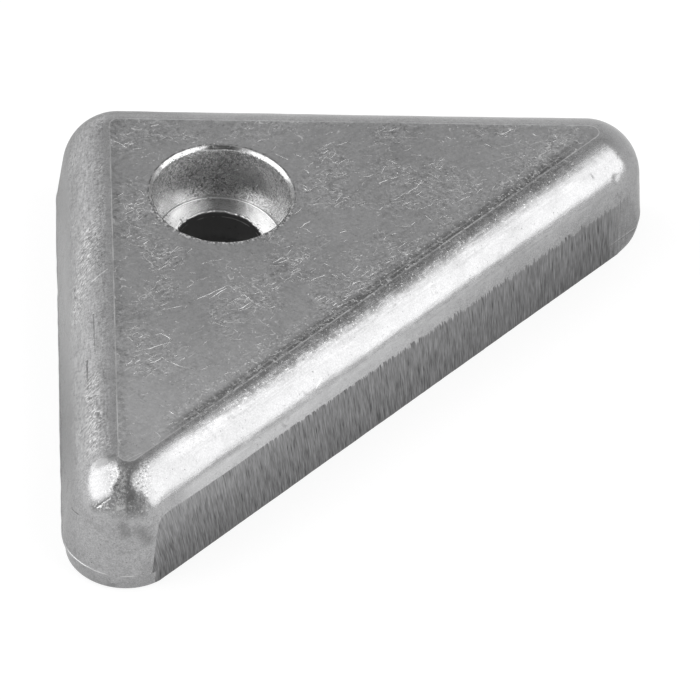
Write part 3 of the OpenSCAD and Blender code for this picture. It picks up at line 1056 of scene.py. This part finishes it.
def skin_bumps(at, ground, streak_height):
    """The skin's fine height, in millimetres."""
    long_round, polish_and_highlight = at.near_long * at.on_round, at.polish_and_highlight
    height = at.pepper * ((at.pocket_wall - polish_and_highlight) * 0.012 + 0.004)
    height = height + at.grain * (at.n.most(long_round * 1.25, at.in_pocket) * -0.009 + 0.016)
    height = height + at.fibres * long_round * 0.012
    height = height + at.mottle * (at.pocket_wall - polish_and_highlight * 0.7) * 0.05
    height = height + at.scuffs * at.left * (at.rubbed * 0.8 + 0.2) * 0.012
    height = height + at.hatch * at.on_top * 0.006 + at.scratch * -0.010
    height = height + at.n.most(at.lines, at.notch * 2.5) * -0.020
    return height * (1.0 - ground) + streak_height * ground


def cast_zinc(finish, shape):
    """The casting's own skin, its grime and scuffs, its painted shade and painted highlights, its bright
    pocket, its through hole painted dark as shade, and the bare ground side.
    """
    material = bpy.data.materials.new("cast_zinc_skin")
    material.use_nodes = True
    n = Nodes(material.node_tree)
    at = Places(n, shape)
    ground, streaks, streak_height = ground_side(at)
    grime_and_shade, bright = grime_and_painted_shade(at), colour(finish.bright)
    base = n.mix(grime_and_shade, tinted(n, finish.metal, skin_tone(at)), colour(finish.grime_and_shade))
    # bright metal where scratched or scuffed, and painted highlights
    base = n.mix(skin_shine(at), base, bright)
    base = n.mix(at.in_pocket, base, tinted(n, finish.pocket, pocket_tone(at)))
    # painted shade: the through hole is coloured near black, a little lighter along one ring part way down
    hole_ring = (at.z + at.grain.swing(0.25)).line(6.42, 0.12) * at.p.noise(0.7).step(0.44, 0.54)
    base = n.mix(at.in_hole * (hole_ring * -0.55 + 0.9), base, colour(finish.hole))
    # the ground side's streaks carry painted shade towards its foot
    base = n.mix(ground, base, tinted(n, finish.ground, streaks))
    fresh = at.below.step(FRESH - 10.0, FRESH - 5.0) * at.grain.step(0.36, 0.56, 0.25, 0.90)
    base = n.mix(fresh, base, bright)
    height = skin_bumps(at, ground, streak_height)
    bump = n.value("ShaderNodeBump", 0, {"Strength": 1.0, "Distance": MM, "Height": height})
    shader = n.value("ShaderNodeBsdfPrincipled", 0, {
        "Metallic": 1.0 - at.pocket_wall * 0.12, "Base Color": base,
        "Roughness": skin_roughness(at, finish, grime_and_shade, ground), "Normal": bump})
    n.add("ShaderNodeOutputMaterial", {"Surface": shader})
    return material


def pale_floor(light):
    """The floor: plain and pale, glowing white to the camera, and with a fainter glow where it is
    seen in the metal, a little darker in front and behind."""
    material = bpy.data.materials.new("pale_floor")
    material.use_nodes = True
    n = Nodes(material.node_tree)
    path = n.add("ShaderNodeLightPath").outputs
    camera, glossy = Value(n, path["Is Camera Ray"]), Value(n, path["Is Glossy Ray"])
    place = n.value("ShaderNodeTexCoord", "Object").scaled(1.0 / MM)
    x, y, _ = n.split(place)
    sideways = n.split(n.vector("NORMALIZE", place))[0]
    # the glow seen in the metal: left of the object it has painted shade towards the object's foot; right of
    # it the glow is paler in front
    near_foot = n.math("POWER", 0.5, n.math("MAXIMUM", -18.6 - x, 0.0) * (1.0 / 32.0))
    left = sideways * sideways * light.floor_sides + light.floor_ends
    left = left + near_foot * y.step(-50.0, -20.0) * -0.34 + y.step(-30.0, -50.0) * 0.05
    right = y.step(-25.0, 12.0, light.floor_ends + 0.13, light.floor_ends - 0.02)
    aside = x.step(-10.0, 5.0)
    glow = n.math("MAXIMUM", aside * right + (1.0 - aside) * left, 0.0)
    shade = 1.0 - (camera * 0.70 + glossy * 0.40)
    shader = n.value("ShaderNodeBsdfPrincipled", 0, {
        "Base Color": tinted(n, light.floor, shade), "Roughness": 0.9, "Specular IOR Level": 0.1,
        "Emission Color": (1.0, 1.0, 1.0, 1.0),
        "Emission Strength": camera * light.floor_white + glossy * glow})
    n.add("ShaderNodeOutputMaterial", {"Surface": shader})
    return material


def studio_world():
    """Soft grey surroundings: palest low down, darker overhead and towards the camera's side."""
    world = bpy.data.worlds.new("studio")
    world.use_nodes = True
    n = Nodes(world.node_tree)
    sideways, ahead, up = n.split(n.value("ShaderNodeTexCoord", "Generated"))
    level = up.step(0.0, 0.95, 0.78, 0.46) + sideways.step(0.1, -0.8) * up.step(0.8, 0.1) * 0.24
    level = level + ahead.step(0.10, -0.60) * up.step(0.05, 0.40) * -0.17
    level = n.most(level, n.value("ShaderNodeLightPath", "Is Camera Ray"))
    background = n.value("ShaderNodeBackground", 0, {"Color": (1.0, 1.0, 1.0, 1.0), "Strength": level})
    n.add("ShaderNodeOutputWorld", {"Surface": background})
    return world


# Operators, one for the casting and one for the stage.

class ANODE_OT_casting(bpy.types.Operator):
    """Builds the anode's casting with its rough skin, ground side and bolt pocket"""
    bl_idname = "anode.casting"
    bl_label = "Casting"

    def execute(self, context):
        shape = Shape(context.scene.anode_sizes)
        finish = context.scene.anode_finish
        material = cast_zinc(finish, shape)
        mesh = casting_mesh(shape, "anode_casting")
        scratches = scratch_mesh(context, mesh, finish, material)
        if len(scratches.polygons) < 1000:
            raise RuntimeError("only %d faces of scratches were made" % len(scratches.polygons))
        both = bmesh.new()
        both.from_mesh(mesh)
        both.from_mesh(scratches)
        both.to_mesh(mesh)
        both.free()
        mesh.materials.clear()
        mesh.materials.append(material)
        piece = bpy.data.objects.new("anode_casting", mesh)
        context.scene.collection.objects.link(piece)
        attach(piece, "root")
        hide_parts("anode_body")
        return {"FINISHED"}


# the camera's directions and place, in metres, which give the photograph's view
CAMERA_RIGHT = (0.99746687, -0.04233939, 0.05715965)
CAMERA_UP = (-0.01264070, 0.68526884, 0.72818050)
CAMERA_BACK = (-0.07000045, -0.72705846, 0.68299776)
CAMERA_PLACE = (-0.04152908, -0.60002463, 0.55368566)
LENS = 360.0                    # millimetres, for a sensor 36 mm wide


def softbox(context, name, azimuth, elevation, roll, width, height, radiance):
    """An area lamp that faces the object from a direction, with a given radiance."""
    target, distance = (0.02, -0.01, 0.01), 0.7
    data = bpy.data.lights.new(name, "AREA")
    data.shape = "RECTANGLE"
    data.size, data.size_y = width, height
    data.energy = radiance * math.pi * width * height
    lamp = bpy.data.objects.new(name, data)
    a, e = math.radians(azimuth), math.radians(elevation)
    direction = Vector((math.cos(a) * math.cos(e), math.sin(a) * math.cos(e), math.sin(e)))
    lamp.location = Vector(target) + direction * distance
    turn = direction.to_track_quat("Z", "Y").to_matrix() @ Matrix.Rotation(math.radians(roll), 3, "Z")
    lamp.rotation_euler = turn.to_euler()
    context.scene.collection.objects.link(lamp)


class ANODE_OT_stage(bpy.types.Operator):
    """Sets the pale floor, the soft studio light and the camera"""
    bl_idname = "anode.stage"
    bl_label = "Stage"

    def execute(self, context):
        light = context.scene.anode_light
        half, low = 3.0, -0.00002
        mesh = bpy.data.meshes.new("floor")
        mesh.from_pydata([(-half, -half, low), (half, -half, low), (half, half, low), (-half, half, low)],
                         [], [(0, 1, 2, 3)])
        mesh.materials.append(pale_floor(light))
        floor = bpy.data.objects.new("floor", mesh)
        context.scene.collection.objects.link(floor)
        context.scene.world = studio_world()

        softbox(context, "softbox_right", -18.5, 39.5, 0.0, 0.70, 0.86, light.right_box)
        softbox(context, "softbox_left", 181.0, 36.5, -14.0, 0.92, 0.68, light.left_box)

        data = bpy.data.cameras.new("camera")
        data.lens, data.sensor_width = LENS, 36.0
        data.clip_start, data.clip_end = 0.05, 20.0
        camera = bpy.data.objects.new("camera", data)
        turn = Matrix((CAMERA_RIGHT, CAMERA_UP, CAMERA_BACK)).transposed().to_4x4()
        camera.matrix_world = Matrix.Translation(CAMERA_PLACE) @ turn
        context.scene.collection.objects.link(camera)
        context.scene.camera = camera
        context.scene.view_settings.view_transform = "Standard"
        return {"FINISHED"}


class ANODE_PT_panel(bpy.types.Panel):
    """Shows the anode's settings and the buttons that build it"""
    bl_idname = "ANODE_PT_panel"
    bl_label = "Zinc Anode"
    bl_space_type = "VIEW_3D"
    bl_region_type = "UI"
    bl_category = "Anode"

    def draw(self, context):
        for name, kind in GROUPS.items():
            box = self.layout.box()
            for key in kind.__annotations__:
                box.prop(getattr(context.scene, name), key)
        for operator in (ANODE_OT_casting, ANODE_OT_stage):
            self.layout.operator(operator.bl_idname)


GROUPS = {"anode_sizes": CastingSizes, "anode_finish": CastingFinish, "anode_light": StudioLight}
CLASSES = (*GROUPS.values(), ANODE_OT_casting, ANODE_OT_stage, ANODE_PT_panel)


def register():
    """Adds the settings, operators and panel to Blender."""
    for item in CLASSES:
        bpy.utils.register_class(item)
    for name, kind in GROUPS.items():
        setattr(bpy.types.Scene, name, bpy.props.PointerProperty(type=kind))


def unregister():
    """Takes them away again."""
    for name in GROUPS:
        delattr(bpy.types.Scene, name)
    for item in reversed(CLASSES):
        bpy.utils.unregister_class(item)


def main():
    """Builds the stage and the casting."""
    register()
    bpy.ops.anode.stage()
    bpy.ops.anode.casting()


if __name__ == "__main__":
    main()
